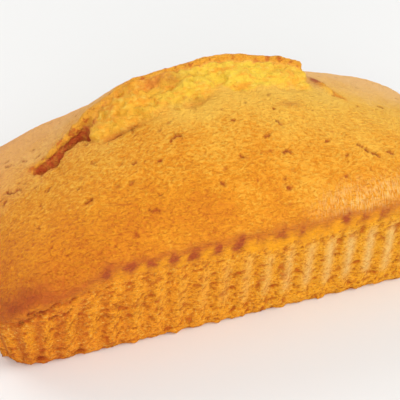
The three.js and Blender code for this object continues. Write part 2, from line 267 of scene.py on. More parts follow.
def outline(x, y):
    """Of points near the wall: the direction straight out, the place of the crust's edge there, and how
    far outside that edge they lie."""
    core = np.stack([np.clip(x, -CORE_X, CORE_X), np.clip(y, -CORE_Y, CORE_Y)], 1)
    out = np.stack([x, y], 1) - core
    length = np.linalg.norm(out, axis=1)
    out /= np.maximum(length, 1e-6)[:, None]
    return out, core + EDGE_RADIUS * out, length - EDGE_RADIUS


def pleat_turns(x, y):
    """How many pleats lie between the front left corner and a point of the wall, going anticlockwise."""
    along, across = np.clip(x, -CORE_X, CORE_X), np.clip(y, -CORE_Y, CORE_Y)
    quarters = ((np.arctan2(y - across, x - along) / (pi / 2) + 1) % 4 + 4) % 4
    to_right, to_back = along / CORE_X / 2 + 0.5, across / CORE_Y / 2 + 0.5
    front = SIDE_PLEATS * np.where(quarters < 2, to_right, 1)
    right = END_PLEATS * np.where(quarters < 1, 0, np.where(quarters < 3, to_back, 1))
    back = SIDE_PLEATS * np.where(quarters < 2, 0, 1 - to_right)
    left = END_PLEATS * np.where(quarters < 3, 0, 1 - to_back)
    return PLEAT_PHASE + CORNER_PLEATS * quarters + front + right + back + left


# ---------------------------------------------------------------- making meshes
def active(thing):
    bpy.ops.object.select_all(action="DESELECT")
    thing.select_set(True)
    bpy.context.view_layer.objects.active = thing


def points_of(thing):
    """The points of a mesh in millimetres."""
    flat = np.empty(3 * len(thing.data.vertices), np.float32)
    thing.data.vertices.foreach_get("co", flat)
    return flat.reshape(-1, 3).astype(float) / MM


def put_points(thing, points):
    """Gives a mesh its points in millimetres."""
    thing.data.vertices.foreach_set("co", (points * MM).astype(np.float32).ravel())
    thing.data.update()


def normals(thing):
    flat = np.empty(3 * len(thing.data.vertices), np.float32)
    thing.data.vertex_normals.foreach_get("vector", flat)
    return flat.reshape(-1, 3).astype(float)


def choose(thing, kind, test):
    """In edit mode, selects the edges or faces that pass a test, and nothing else."""
    active(thing)
    bpy.ops.object.mode_set(mode="EDIT")
    bpy.ops.mesh.select_mode(type="EDGE" if kind == "edges" else "FACE")
    bpy.ops.mesh.select_all(action="DESELECT")
    mesh = bmesh.from_edit_mesh(thing.data)
    for element in getattr(mesh, kind):
        element.select_set(test(element))
    bmesh.update_edit_mesh(thing.data)


def modify(thing, kind, **settings):
    """Adds a modifier and applies it."""
    active(thing)
    modifier = thing.modifiers.new(kind.title(), kind)
    for name, value in settings.items():
        setattr(modifier, name, value)
    bpy.ops.object.modifier_apply(modifier=modifier.name)


def runs_along(edge, axis):
    """Whether an edge runs along one axis, 0 to 2."""
    way = edge.verts[1].co - edge.verts[0].co
    return abs(way[axis]) > 0.99 * way.length


def loft(name, stations, outline_at):
    """A closed solid along X: a lying cylinder that is cut into rings, each then given its outline, a list
    of (y, z)."""
    outlines = [outline_at(x) for x in stations]
    sides = len(outlines[0])
    bpy.ops.mesh.primitive_cylinder_add(vertices=sides, radius=1, depth=1, rotation=(0, pi / 2, 0))
    thing = bpy.context.object
    thing.name = name
    bpy.ops.object.transform_apply(location=False, rotation=True, scale=False)
    choose(thing, "edges", lambda edge: runs_along(edge, 0))
    bpy.ops.mesh.subdivide(number_cuts=len(stations) - 2)
    bpy.ops.object.mode_set(mode="OBJECT")
    at = points_of(thing) * MM
    station = np.rint((at[:, 0] + 0.5) * (len(stations) - 1)).astype(int)
    corner = np.rint(np.arctan2(at[:, 2], at[:, 1]) / (2 * pi) * sides).astype(int) % sides
    rings = np.array(outlines)
    put_points(thing, np.column_stack([np.array(stations)[station], rings[station, corner]]))
    active(thing)
    bpy.ops.object.mode_set(mode="EDIT")
    bpy.ops.mesh.select_all(action="SELECT")
    bpy.ops.mesh.normals_make_consistent(inside=False)
    bpy.ops.object.mode_set(mode="OBJECT")
    return thing


def combine(thing, other, operation):
    """Joins another solid to a solid, or cuts it out, and takes the other one away."""
    modify(thing, "BOOLEAN", object=other, operation=operation, solver="MANIFOLD")
    bpy.data.objects.remove(other)


# ---------------------------------------------------------------- the block and its shape
def block():
    """A block with round corners, as high as the crust's edge."""
    half = EDGE_HEIGHT / 2
    bpy.ops.mesh.primitive_cube_add(
        size=2, location=(0, 0, half * MM), scale=(EDGE_X * MM, EDGE_Y * MM, half * MM)
    )
    thing = bpy.context.object
    thing.name = PIECE
    bpy.ops.object.transform_apply(location=True, rotation=False, scale=True)
    choose(thing, "edges", lambda edge: runs_along(edge, 2))
    bpy.ops.mesh.bevel(offset=EDGE_RADIUS * MM, segments=CORNER_STEPS, affect="EDGES")
    bpy.ops.object.mode_set(mode="OBJECT")
    modify(thing, "REMESH", mode="VOXEL", voxel_size=BLOCK_STEP * MM)
    return thing


def bake(thing):
    """Gives the block its flaring pleated walls and its domed crust."""
    x, y, z = points_of(thing).T
    x, y = np.clip(x, -EDGE_X, EDGE_X), np.clip(y, -EDGE_Y, EDGE_Y)
    out, edge, beyond = outline(x, y)
    rim = edge_height(*edge.T)
    wall_top = EDGE_HEIGHT - BAND
    share = np.clip(z / wall_top, 0, 1)
    pleat = PLEAT_DEPTH * (1 - changed(share, PLEAT_FADE, 1 - PLEAT_FADE))
    pleat = pleat * between(FOOT_PLEAT, 1, changed(share, 0, FOOT_PLEAT_END))
    pleat = pleat * np.cos(2 * pi * pleat_turns(x, y))
    into = between(FLARE * (1 - share) + OVERHANG, 0, changed(z, wall_top, BAND))
    move = (pleat - into) * smooth(1 + beyond / WALL_REACH)
    height = np.where(z < wall_top, share * (rim - BAND), dome(x, y) + z - EDGE_HEIGHT)
    side = (z >= wall_top) & (z < EDGE_HEIGHT - BLOCK_STEP)
    height = np.where(side, rim + z - EDGE_HEIGHT, height)
    put_points(thing, np.column_stack([x + out[:, 0] * move, y + out[:, 1] * move, height]))


# ---------------------------------------------------------------- crack, crumb and flap
near_lip_line = curve(NEAR_LIP_Y)
far_lip_line = curve(FAR_LIP_Y)
far_lip_lift = curve(FAR_LIP_LIFT)
far_lip_thickness = curve(FAR_LIP_THICKNESS)
crumb_step = curve(CRUMB_STEP)
crumb_swell = curve(CRUMB_SWELL)


def near_lip(x):
    """Where the crust ends in front of the crack."""
    fine = between(*NEAR_LIP_RAGGED, filled(x)) * ragged(x, size=2.0, seed=2)
    return near_lip_line(x) + 1.3 * ragged(x, size=4, seed=1) + fine


def far_lip(x):
    """Where the flap's edge lies behind the crack."""
    fine = between(*FAR_LIP_RAGGED, filled(x)) * ragged(x, size=2.4, seed=4)
    return far_lip_line(x) + 1.1 * ragged(x, size=7, seed=3) + fine


def lift(x):
    """How far the crumb has lifted the flap's edge."""
    return far_lip_lift(x) + 0.8 * ragged(x, size=9, seed=5) + 0.3 * ragged(x, size=3.3, seed=6)


def thickness(x):
    """How thick the flap's edge is."""
    uneven = 1 + 0.35 * ragged(x, size=6, seed=7) + 0.25 * ragged(x, size=2.5, seed=8)
    return far_lip_thickness(x) * uneven


def filled(x):
    """0 where the crack gapes, 1 where crumb fills it."""
    return changed(x, CRACK_START + GAP_LENGTH, 3)


def crack_opening():
    """The solid that is cut out of the block, its near side leaning in towards the floor."""

    def outline_at(x):
        y = float(near_lip(x)[0])
        far = float(far_lip(x)[0]) + FLAP_ROOM
        z = float(dome(x, y)[0])
        floor = z - 0.3 - GAP_DEPTH * float(changed(x, CRACK_START, GAP_LENGTH / 3))
        return [(y + GAP_LEAN, floor), (far, floor), (far, OVER_LOAF), (y - 0.5, OVER_LOAF), (y - 0.2, z)]

    return loft("crack", np.arange(CRACK_START, FLAP_END + 0.5, CRACK_SLICE), outline_at)


def crumb_and_flap():
    """The solid that fills the crack: its crumb climbs from the near lip to the flap, late where the crack
    gapes and early where it is filled, and the flap comes down behind and dives under the crust."""
    shares = np.linspace(0, 1, CRUMB_CORNERS)

    def outline_at(x):
        fill = float(filled(x))
        ended = float(changed(x, FLAP_END, FLAP_END_SLOPE))
        y, far = float(near_lip(x)[0]), float(far_lip(x)[0])
        z = float(dome(x, y)[0])
        raised, thick = float(lift(x)[0]), float(thickness(x)[0])
        top = float(dome(x, far)[0]) + between(raised, -FLAP_SINK, ended)
        floor = z - between(between(GAP_DEPTH, float(crumb_step(x)), fill), FLAP_SINK, ended)
        ceiling = max(floor + 0.3, top - thick)
        climb = between(shares**3, shares**0.8, fill)
        swell = float(crumb_swell(x)) * np.sin(pi * shares) * fill * (1 - ended)
        crumb_y = between(y, far, shares) + between(*CRUMB_INSET, fill * (1 - ended))
        crumb_z = between(floor, ceiling, climb) + swell
        root = z - GAP_DEPTH - CRUMB_ROOT

        def back(share):
            """The flap's upper side, from its edge (0) to its end under the crust (1)."""
            y_back = far + FLAP_BACK * share
            over = raised * (1 - share) if share < 1 else -FLAP_SINK
            return (y_back, float(dome(x, y_back)[0]) + between(over, -FLAP_SINK, ended))

        return [
            (y, root),
            (far + 0.8 * FLAP_BACK, root),
            *(back(share) for share in (1, 0.8, 0.6, 0.4, 0.2, 0.1)),
            # the flap's rounded edge
            (far + 0.7, top),
            (far - 0.5, top - thick / 3),
            (far - 0.2, top - thick * 0.8),
            *zip(crumb_y[::-1], crumb_z[::-1]),
            (y + 0.7, floor - 0.7),
        ]

    stations = np.arange(CRACK_START, FLAP_END + FLAP_END_SLOPE + 0.1, CRUMB_SLICE)
    return loft("crumb", stations, outline_at)


# ---------------------------------------------------------------- skin, relief and where each finish lies
# Slits and pits in the crust: (x, y, length, direction in degrees, depth)
SLITS = [
    (-63, -33, 3.4, 15, 1.3),
    (-74, -17, 2.6, 5, 0.7),
    (-73, -5.5, 2.4, 45, 1.3),
    (-86.2, -3.6, 3, -75, 1.0),
    (-83.4, -6, 3.5, -20, 0.7),
    (-89, -8, 3, 55, 0.6),
    (-76, 9, 3, -45, 0.8),
    (-81.5, 12.5, 3, -32, 0.5),
    (-71, 5.8, 2, -20, 0.5),
    (-56, -18, 1.2, 0, 0.6),
    (-42.5, -27, 1.6, 10, 1.0),
    (-46, -34, 1.6, 10, 0.6),
    (-41, -44.5, 4.5, -15, 0.6),
    (-25.2, -24, 3.6, 35, 0.9),
    (-22.7, -23.9, 2, -40, 0.7),
    (-33.3, -30.6, 1, 0, 1.0),
    (19.5, -19.2, 0.6, 0, 0.8),
    (0.2, -23.1, 1.2, 0, 0.8),
    (18.3, -26, 2.6, -40, 0.7),
    (11.2, -31, 2.2, 8, 0.8),
    (17, -37, 4.2, 0, 0.9),
    (-2.2, -36.6, 1.4, -50, 0.6),
    (-12.6, -43, 1.6, 0, 1.1),
    (50, -35.1, 2, 0, 0.8),
    (52.4, -36.9, 1.4, -70, 1.4),
    (55.5, -38.7, 3.6, -25, 0.8),
    (62.7, -38, 2.8, -25, 0.9),
    (36, -33.7, 1, 0, 0.7),
    (42.6, -39.1, 1, 0, 0.8),
    (39, -45.5, 1, 0, 0.7),
    (13.5, -46.8, 2.4, -8, 0.8),
    (73.3, -8.7, 2.4, -25, 1.3),
    (60.6, -12.7, 1, 0, 0.7),
]
SLIT_WIDTH = 0.44
SLIT_REACH = 6.0  # a slit touches no point further off than this
PIT_COUNT = 170
PIT_SEED = 11
PIT_SPREADS = [(-98, 98), (-51, 51), (0, 1.4), (-35, 35)]  # of x, y, length and direction
PIT_DEPTHS = (0.15, 0.6)
# The browned front left corner of the crust: (x, y), and how far the brown goes
BROWN_CORNER = (-93.5, -47)
BROWN_CORNER_RADIUS = 14.0
# Lumps and hollows round the crack: (x, y, half length, half width, height)
LUMPS = [
    (48.5, 3.5, 2.6, 4.5, 0.7),
    (-12.4, -11.9, 3.2, 1.0, -1.9),
    (-17.5, -12.5, 2.2, 1.4, 1.0),
    (-67.6, -9.3, 1.0, 0.9, -1.6),
    (-45, -11, 4.5, 1.0, -1.5),
    (-37, -11.2, 4.5, 0.9, -1.1),
    (12, -4, 9, 2.6, 1.0),
    (-38, -8.5, 3.5, 1.6, 1.2),
    (-46, -8.6, 3, 1.5, 1.0),
]
# Toasted patches of the crack's crumb and lips and of the crust, and the two at x -44 and -37, which are
# painted shade in the groove along the near lip: (x, y, half length, half width, strength)
PATCHES = [
    (-16, -0.5, 3.5, 1.6, 0.42),
    (-7, 0.5, 3, 1.2, 0.42),
    (-9, -10.3, 4.5, 1.6, 0.42),
    (27.4, -16.8, 5, 1.5, 0.42),
    (-44, -10.6, 4.5, 1.0, 0.7),
    (-37, -10.8, 4.0, 0.9, 0.6),
    (48.4, 3.6, 2.4, 4.0, 1.0),
]
# Notches along the foot's front edge: (x, half width)
FOOT_NOTCHES = [(-88.5, 1.9), (-73, 1.5), (-60, 0.8), (-41, 0.9), (9, 0.8)]
NOTCH_DEPTH = 2.4
# Splits along the seam of wall and crust at the front left: (x, height over the crust's edge, length, rise)
SEAM_SPLITS = [
    (-95.5, -4.5, 4.5, 0.0),
    (-93, -1.6, 2.5, -0.2),
    (-90.5, -3.6, 2.5, 0.1),
    (-88.2, -4.8, 3.5, 0.5),
    (-84.2, -2.8, 3.0, 0.6),
    (-77.2, -3.0, 2.5, 0.3),
    (-79, -7.8, 3, 0.4),
    (-84.5, -8.5, 3, 0.1),
    (-77.5, -15, 2, 1.2),
]
SPLIT_WIDTH = 0.65
SPLIT_DEPTH = 1.3
PORE_DEPTH = 0.8
# Lumps, crack and patches lie over these heights, so that the foot under them is left alone.
LUMPS_OVER = 40
CRACK_OVER = 45
PATCHES_OVER = 60
# Where a finish or a form changes along X: the start, and the length that it takes
BAND_WIDENS = (-82, 24)
BAND_SHINES = (-66, 25)
BAND_DULLS = (25, 40)
SPOTS_BEGIN = (-80, 16)
EDGE_LINE_BEGINS = (-92, 20)
PEELING_BEGINS = (14, 22)
GOLD_BEGINS = (-42, 40)
GOLD_ENDS = (45, 25)
GAP_ENDS = (-55.2, 2.5)
CRUMB_SOFTENS = (16, 12)
CRUMB_CALMS = (-8, 16)
CRESTS_CLOSE = (-40, 80)  # fewer pores on the crests to the right
SEAM_CRACKS = (58, 15)  # going left from the middle
# Stretches along X: the middle and half the length
WIDE_BAND = (8, 26)
SHADED_FLAP = (-23, 8)
STRONG_SPOTS = (-64, -2)  # from one end to the other
# Where the border of the crumb is soft: (millimetres added to its width, x, half length)
SOFT_LIP = [(4.5, -22, 11), (2.0, -1, 5)]
SOFT_CRUMB = [(7, -23, 20), (1.5, 0, 6)]
# Noise of the relief, layer on layer: (height, width of its bumps or one for each axis, seed)
CRUST_SWELL = (0.4, 26, 1)
CRUST_LAYERS = [(0.25, 10, 2), (0.2, (4.5, 2.4, 2.4), 3), (0.2, (2.6, 1.6, 1.6), 4)]
WALL_LAYERS = [(0.35, 12, 7), (0.3, 1.6, 6), (0.3, (3.0, 3.0, 2.2), 8)]
FOOT_RAGGED = (1.2, 2.6, 15)
CRUMB_LAYERS = [(3.6, (13.0, 7.0, 5.0), 9), (2.2, (6.0, 3.4, 2.8), 10), (1.7, 2.0, 11)]
BROKEN_LAYERS = [(0.9, 3.2, 12), (0.5, 1.6, 13)]
WOBBLE_LAYERS = [(1.0, 6, 20), (0.8, 2.2, 22)]  # of the borders between the finishes of wall and crust
# The finishes that the material reads from the skin
FINISHES = "wall band crest groove toast peeled golden torn crumb gap slit pore".split()


def grain_where(mask, points, size, seed):
    """Noise at the points where a mask isn't 0, and 0 elsewhere."""
    values = np.zeros(len(points))
    chosen = mask > 0.01
    values[chosen] = grain(points[chosen], size, seed)
    return values


def layered(layers, mask, points, ground=0):
    """Layers of noise on a ground, one on the other, at the points where a mask isn't 0."""
    for height, size, seed in layers:
        ground = ground + height * grain_where(mask, points, np.array(size), seed)
    return ground


def softened(width, places, x):
    """A width that grows round some places along X."""
    for added, middle, half in places:
        width = width + added * near(x, middle, half)
    return width


def beside(line, x, y):
    """How far points lie from a line through places, less than 0 on its right, and where along it they
    lie, from 0 to 1."""
    distance, share = np.full_like(x, 1e9), np.zeros_like(x)
    for number, ((x0, y0), (x1, y1)) in enumerate(zip(line, line[1:])):
        way_x, way_y = x1 - x0, y1 - y0
        along = ((x - x0) * way_x + (y - y0) * way_y) / (way_x**2 + way_y**2)
        along = np.clip(along, 0, 1)
        off_x, off_y = x - x0 - along * way_x, y - y0 - along * way_y
        off = np.hypot(off_x, off_y)
        closer = off < np.abs(distance)
        distance = np.where(closer, np.sign(way_x * off_y - way_y * off_x) * off, distance)
        share = np.where(closer, (number + along) / (len(line) - 1), share)
    return distance, share


def slit_depth(x, y):
    """How deep the crust's slits and pits are at each point."""
    deep = np.zeros_like(x)
    rng = np.random.default_rng(PIT_SEED)
    pits = [
        (*(rng.uniform(least, most) for least, most in PIT_SPREADS), depth)
        for depth in rng.uniform(*PIT_DEPTHS, PIT_COUNT)
    ]
    for centre_x, centre_y, length, turn, depth in [*SLITS, *pits]:
        way_x, way_y = np.cos(radians(turn)), np.sin(radians(turn))
        near_by = (np.abs(x - centre_x) < SLIT_REACH) & (np.abs(y - centre_y) < SLIT_REACH)
        dx, dy = x[near_by] - centre_x, y[near_by] - centre_y
        along = dx * way_x + dy * way_y
        across = dy * way_x - dx * way_y + 0.25 * np.sin(1.7 * along + centre_x)
        across += 0.15 * np.sin(4.3 * along + centre_y)
        past = np.maximum(np.abs(along) - 0.4 * length, 0)
        deep[near_by] = np.maximum(deep[near_by], depth * near(np.hypot(past, across), 0, SLIT_WIDTH))
    return deep


def split_depth(x, over_rim):
    """How deep the splits along the seam are at points of the front."""
    deep = np.zeros_like(x)
    for split_x, split_z, length, climb in SEAM_SPLITS:
        dx, dz = x - split_x, over_rim - split_z
        across = dz - climb * dx + 0.35 * np.sin(2.3 * dx + split_x)
        past = np.maximum(np.abs(dx) - 0.4 * length, 0)
        deep = np.maximum(deep, near(np.hypot(past, across), 0, SPLIT_WIDTH))
    return deep


def notch_share(x, y, z):
    """1 in the middle of each notch, which lies a little over the foot's front edge, 0 away from them."""
    share = np.zeros_like(x)
    for notch_x, half in FOOT_NOTCHES:
        share += near(np.hypot(x - notch_x, 1.4 * z - 1.9 * half), 0, half) * (y < 0)
    return share


class Site:
    """Where the skin's points lie against the crust's edge, the wall and its pleats."""

    def __init__(self, points):
        self.points = points
        self.x, self.y, self.z = points.T
        _, edge, self.beyond = outline(self.x, self.y)
        self.over_rim = self.z - edge_height(*edge.T)
        self.turns = pleat_turns(self.x, self.y)

        # 1 near the wall and 0 in the loaf's middle, 1 at the front and 0 at the back, and noise
        self.outer = changed(self.beyond, -13, 3)
        self.front_side = 1 - changed(self.y, -14, 28)
        self.wobble = layered(WOBBLE_LAYERS, self.outer, points)


def wall_finish(site):
    """All under the crust's edge, the rough wall, the golden band over it, and on the wall's pleats the
    pale crests, partly real and partly a painted highlight on the flank lit from the right, and the grooves
    in painted shade."""
    x, over_rim, wobble = site.x, site.over_rim, site.wobble
    under = (1 - smooth((over_rim + 0.8 + wobble) / 1.6)) * site.outer

    # the band is narrow at the left end, and widest just right of the front's middle
    band_share = between(0.6, 1, changed(x, *BAND_WIDENS))
    band_share = band_share * (1 + 0.7 * near(x, *WIDE_BAND) * site.front_side)
    wall = smooth((-over_rim - BAND * band_share + 1.8 + 3.5 * wobble) / 3) * site.outer
    shine = site.front_side * changed(x, *BAND_SHINES) * (1 - 0.6 * changed(x, *BAND_DULLS))
    band = np.clip(under - wall, 0, 1) * between(0.25, 1, shine)

    # painted highlight: the crest colour is shifted onto the pleats' flank lit from the right
    wave = 0.5 * np.cos(2 * pi * (site.turns - PLEAT_LAG))
    crest = (0.5 + wave) ** 1.3
    crest *= wall * changed(site.z + 2 * wobble, 6, 7) * changed(-over_rim + 2 * wobble, 6, 7)
    # painted shade: the pleats' grooves are darkened where shade falls
    groove = (0.5 - wave) ** 2 * wall * changed(-over_rim + wobble, 2, 6)
    return under, wall, band, crest, groove


def browning_and_lip_shade(site):
    """The brown of the crust's edge, of the front left corner and of the toasted patches, two of which are
    painted shade in the groove along the near lip.
    """
    x, y, over_rim, wobble = site.x, site.y, site.over_rim, site.wobble

    # spots where the grooves meet the edge, some stronger than others, and a line along the edge
    strength = np.clip(0.9 + 0.9 * ragged(np.floor(site.turns), size=0.37, seed=21), 0.15, 1)
    strength = strength * between(1, changed(x, *SPOTS_BEGIN), site.front_side)
    strong = (y < 0) & (x > STRONG_SPOTS[0]) & (x < STRONG_SPOTS[1])
    strength = np.where(strong, 1, strength)
    shifted = 0.5 - 0.5 * np.cos(2 * pi * (site.turns - PLEAT_LAG + 0.24 * wobble))
    spot = 1.1 * shifted**0.8 * near(over_rim + 1.0 + 1.9 * wobble, 0, 3.4) * strength
    line = 0.5 * near(over_rim - 0.4 + 1.4 * wobble, 0, 2.2) * changed(x, *EDGE_LINE_BEGINS)

    corner = near(np.hypot(x - BROWN_CORNER[0], y - BROWN_CORNER[1]), 0, BROWN_CORNER_RADIUS)
    corner *= near(over_rim, 3, 6) * (1 + 0.6 * wobble)
    toast = np.clip(np.maximum(spot, line) * changed(site.beyond, -9, 5) + 0.8 * corner, 0, 1)
    # the patches, two of them painted shade in the groove along the near lip
    for *oval, share in PATCHES:
        toast = np.maximum(toast, share * bell(x, y, *oval) * (site.z > PATCHES_OVER))
    return toast


def peeled_edge(site):
    """The pale edge of the crust, on the front's right half and the back's left half."""
    share = between(changed(-site.x, *PEELING_BEGINS), changed(site.x, *PEELING_BEGINS), site.front_side)
    return share * near(site.over_rim - 6 + 2 * site.wobble, 0, 5) * changed(site.beyond, -12, 4)


def crack_finish(site):
    """All inside the crack, the crumb that fills it, the gap at its left end in painted shade, the torn
    edge of the flap, and the golden crust before it."""
    x, y, z = site.x, site.y, site.z
    from_lip, lip_far = y - near_lip(x), far_lip(x)

    # the crust turns into crumb at once, but softly round two places of the near lip
    blurred = softened(0.6, SOFT_LIP, x)
    inside = smooth((from_lip + 0.2 + 0.5 * blurred) / blurred / 1.5)
    inside *= (1 - smooth((y - lip_far - 1.2) / 0.8)) * (z > CRACK_OVER)
    inside *= changed(x, CRACK_START, 3) * (1 - changed(x, FLAP_END + 1, 3))

    over_underside = z - (dome(x, lip_far) + lift(x)) + thickness(x)
    torn = inside * smooth((over_underside + 0.4) / 0.6)
    # painted shade: the open gap at the crack's left end is coloured dark red for the shade inside it
    gap = inside * (1 - changed(x - 0.6 * from_lip, *GAP_ENDS)) * (1 - torn)
    gap = gap * smooth((dome(x, y) - z + 3) / 2)
    fade = softened(0.8, SOFT_CRUMB, x) + 3 * changed(x, *CRUMB_SOFTENS)
    crumb = np.clip(inside - gap - torn, 0, 1) * smooth(from_lip / fade + 0.2)

    # painted shadow: a strip right under a stretch of the flap's edge has the gap's painted shade too
    shadow_below_flap = near(over_underside + 0.7, 0, 1.0) * near(x, *SHADED_FLAP)
    gap = np.maximum(gap, 0.7 * np.clip(inside - torn, 0, 1) * shadow_below_flap)
    golden = near(from_lip, -3, 6) * changed(x, *GOLD_BEGINS) * (1 - changed(x, *GOLD_ENDS))
    golden = golden * (z > PATCHES_OVER)
    return inside, crumb, gap, torn, golden


def tear_finish(site):
    """The tear past the flap: a ridge of crumb, then a furrow, and the torn lip beside it."""
    off, along = beside(TEAR, site.x, site.y)
    on_crust = (site.z > CRACK_OVER) * (site.x > TEAR_START)

    def strip(centre, width, rise, fall):
        """A strip beside the tear, with the start and length of its rise and fall along it."""
        share = near(off, centre, width) * changed(along, *rise) * (1 - changed(along, *fall))
        return share * on_crust

    ridge = strip(-0.6, 1.7, (0.15, 0.15), (0.5, 0.45))
    furrow = strip(0.1, 0.75, (0.4, 0.1), (0.72, 0.1))
    lip = strip(-0.2, 1.5, (0.4, 0.15), (0.78, 0.12))
    return ridge, furrow, lip


def finish_masks(site, facing):
    """Where each finish lies, and each form that the relief needs: for every point, from 0 to 1."""
    under, wall, band, crest, groove = wall_finish(site)
    inside, crumb, gap, torn, golden = crack_finish(site)
    ridge, furrow, lip = tear_finish(site)
    return {
        "wall": wall,
        "band": band,
        "crest": crest,
        "groove": groove,
        "toast": browning_and_lip_shade(site),
        "peeled": peeled_edge(site),
        "golden": golden,
        "torn": np.maximum(torn, 0.8 * lip + 0.55 * ridge),
        "crumb": np.maximum(crumb, ridge),
        # the furrow along the tear takes the gap's painted shade
        "gap": np.maximum(gap, furrow),
        "crust": np.clip(1 - under - inside, 0, 1) ** 3 * smooth((facing[:, 2] + 0.1) / 0.3),
        "furrow": furrow,
        "ridge": ridge,
    }


def pores(site, masks):
    """The wall's open pores, wide and fine ones, in patches and most of all along the left seam. The pale
    crests have fewer."""
    points, wall = site.points, masks["wall"]
    wide = grain_where(wall, points, np.array([3.4, 3.4, 2.2]), 5)
    fine = grain_where(wall, points, 1.6, 6)
    cracked = near(site.over_rim, -2.5, 2) * changed(-site.x, *SEAM_CRACKS) * (site.y < 0)
    patchy = 0.12 * grain_where(wall, points, 11, 14) + 0.25 * cracked
    pore = smooth((wide - 0.34 + patchy) / 0.16) + 0.8 * smooth((fine - 0.22 + patchy) / 0.2)
    return np.clip(pore, 0, 1) * wall * (1 - 0.8 * masks["crest"] * changed(site.x, *CRESTS_CLOSE))


def uneven(site, masks):
    """How far noise raises each point: the crust, the wall, the crumb and the broken edges."""
    points, x, wall, crumb = site.points, site.x, masks["wall"], masks["crumb"]
    smooth_skin = (1 - crumb) * (1 - wall)
    height, size, seed = CRUST_SWELL
    crust_rise = layered(CRUST_LAYERS, smooth_skin, points, height * grain(points, size, seed))
    foot = near(site.z, 0, 2.5) * wall
    height, size, seed = FOOT_RAGGED
    wall_rise = layered(WALL_LAYERS, wall, points) + height * foot * grain_where(foot, points, size, seed)
    crumb_rise = layered(CRUMB_LAYERS, crumb, points) * (1 - 0.35 * changed(x, *CRUMB_CALMS))
    broken = masks["torn"] + 0.7 * masks["gap"]
    broken_rise = layered(BROKEN_LAYERS, broken, points) * between(1, 0.5, filled(x))
    return crust_rise * smooth_skin + wall_rise * wall + crumb_rise * crumb + broken_rise * broken


def relief(thing):
    """Moves the skin's points for the fine relief, and keeps what the finish needs as attributes."""
    points, facing = points_of(thing), normals(thing)
    site = Site(points)
    x, y, z = site.x, site.y, site.z
    masks = finish_masks(site, facing)
    slits = slit_depth(x, y) * masks["crust"]
    splits = split_depth(x, site.over_rim) * (y < 0)
    notches = notch_share(x, y, z)
    masks["pore"] = np.maximum(pores(site, masks), np.clip(1.4 * notches, 0, 1))
    masks["slit"] = np.clip(slits / 0.55 + 1.3 * splits + 1.6 * notches - 0.4 * (notches > 0.01), 0, 1)

    rise = uneven(site, masks)
    rise += RIDGE_RISE * masks["ridge"] - FURROW_DEPTH * masks["furrow"]
    for *oval, height in LUMPS:
        rise += height * bell(x, y, *oval) * (z > LUMPS_OVER)
    rise -= slits + PORE_DEPTH * masks["pore"] + SPLIT_DEPTH * splits
    not_underneath = smooth((facing[:, 2] + 0.95) / 0.35)
    moved = points + facing * (rise * not_underneath)[:, None]
    moved[:, 1] += NOTCH_DEPTH * notches * changed(site.beyond, -16, 8)
    moved[:, 2] = np.maximum(moved[:, 2], 0)
    put_points(thing, moved)
    for name in FINISHES:
        attribute = thing.data.attributes.new(name, "FLOAT", "POINT")
        attribute.data.foreach_set("value", masks[name].astype(np.float32))


def skin(thing):
    """Even faces all over."""
    modify(thing, "REMESH", mode="VOXEL", voxel_size=SKIN_STEP * MM)


def close_foot(thing):
    """Draws the foot's many small faces together into one."""
    choose(thing, "faces", lambda face: all(vert.co.z < 1e-6 for vert in face.verts))
    bpy.ops.mesh.dissolve_limited(angle_limit=radians(1))
    bpy.ops.object.mode_set(mode="OBJECT")


# ---------------------------------------------------------------- materials
def srgb(*levels):
    """A colour given by its usual levels, 0 to 255."""
    shares = [level / 255 for level in levels]
    return tuple(s / 12.92 if s <= 0.04045 else ((s + 0.055) / 1.055) ** 2.4 for s in shares) + (1.0,)


class Field:
    """A socket of a material's nodes. Arithmetic on fields adds the Math nodes that it takes."""

    def __init__(self, tree, socket=None):
        self.tree = tree
        self.socket = socket

    def node(self, kind, settings, inputs, output=0):
        """Adds a node: its settings first, then values or links for its sockets, by name or number."""
        made = self.tree.nodes.new("ShaderNode" + kind)
        for name, value in settings.items():
            if name == "stops":
                ramp = made.color_ramp.elements
                while len(ramp) < len(value):
                    ramp.new(1)
                for element, (position, colour) in zip(ramp, value):
                    element.position = position
                    element.color = colour
            else:
                setattr(made, name, value)
        for name, value in inputs.items():
            if isinstance(value, Field):
                self.tree.links.new(value.socket, made.inputs[name])
            else:
                made.inputs[name].default_value = value
        return Field(self.tree, made.outputs[output])

    def math(self, operation, *values):
        return self.node("Math", {"operation": operation}, dict(enumerate(values)))

    def __abs__(self):
        return self.math("ABSOLUTE", self)

    def __add__(self, other):
        return self.math("ADD", self, other)

    __radd__ = __add__

    def __sub__(self, other):
        return self.math("SUBTRACT", self, other)

    def __rsub__(self, other):
        return self.math("SUBTRACT", other, self)

    def __mul__(self, other):
        return self.math("MULTIPLY", self, other)

    __rmul__ = __mul__

    def step(self, from_value, to_value):
        """0 at one value and 1 at another, smooth between."""
        inputs = {"Value": self, "From Min": from_value, "From Max": to_value}
        return self.node("MapRange", {"interpolation_type": "SMOOTHSTEP"}, inputs)

    def colours(self, first, second):
        """One colour where the field is 0, and another where it is 1."""
        return self.node("Mix", {"data_type": "RGBA"}, {0: self, 6: first, 7: second}, output=2)


CRUST_DEEP = srgb(204, 100, 6)
CRUST_MID = srgb(236, 147, 14)
CRUST_LIGHT = srgb(255, 194, 68)
CRUST_GOLD = srgb(255, 204, 84)
# painted sheen: the pale tan of the crust's back
CRUST_SHEEN_TAN = srgb(255, 200, 130)
CRUST_BROWN = srgb(178, 78, 22)
CRUST_PALE = srgb(252, 206, 130)
SLIT_BROWN = srgb(170, 58, 14)
WALL_LEFT = srgb(246, 148, 24)
WALL_MIDDLE = srgb(255, 156, 24)
WALL_RIGHT = srgb(255, 176, 28)
WALL_DARK = srgb(192, 78, 12)
WALL_SPECK = srgb(255, 212, 100)
